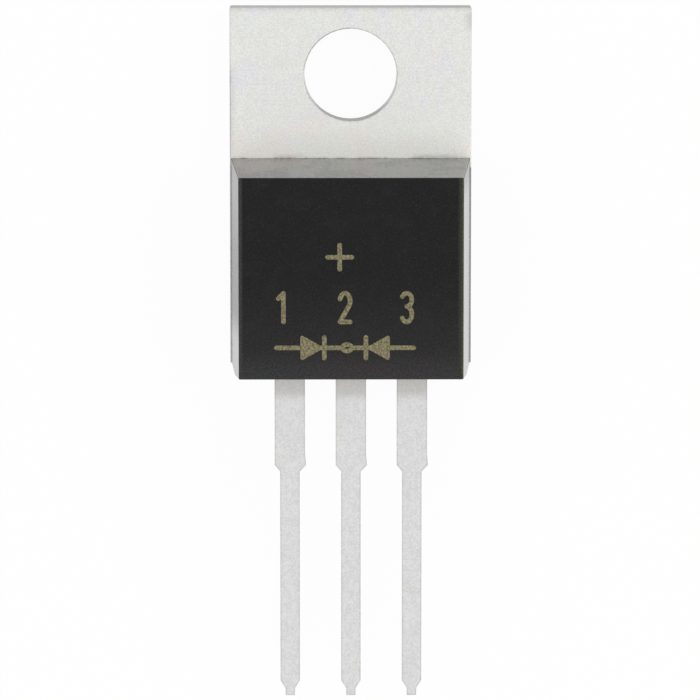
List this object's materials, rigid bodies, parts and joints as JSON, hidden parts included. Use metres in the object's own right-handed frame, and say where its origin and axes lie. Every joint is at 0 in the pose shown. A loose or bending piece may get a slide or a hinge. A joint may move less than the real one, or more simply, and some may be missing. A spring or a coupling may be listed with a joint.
{
  "type": "schottky diode",
  "caption": "Power diode package: a black moulded body on a flat metal mounting tab with a screw hole, and a row of straight flat leads that solder into a circuit board.",
  "frame": {"origin": "centre of the screw hole on the back face of the tab, which is the mounting face", "axes": "+Z out of the front of the body, +Y towards the free end of the tab with the leads along -Y, +X to the right as seen from the front; the part lies on its back at Z 0"},
  "size_m": [0.01, 0.0287, 0.0046],
  "materials": {
    "tinned_copper": "satin",
    "mould_compound": "matte",
    "silicon": "satin",
    "solder": "satin",
    "bond_aluminium": "satin"
  },
  "bodies": {
    "root": {"tab_with_centre_lead": "tinned_copper", "outer_lead_left": "tinned_copper", "outer_lead_right": "tinned_copper", "moulded_body": "mould_compound", "diode_chip_left": "silicon", "diode_chip_right": "silicon", "chip_solder_left": "solder", "chip_solder_right": "solder", "bond_wire_left_inner": "bond_aluminium", "bond_wire_left_outer": "bond_aluminium", "bond_wire_right_inner": "bond_aluminium", "bond_wire_right_outer": "bond_aluminium"}
  },
  "joints": []
}
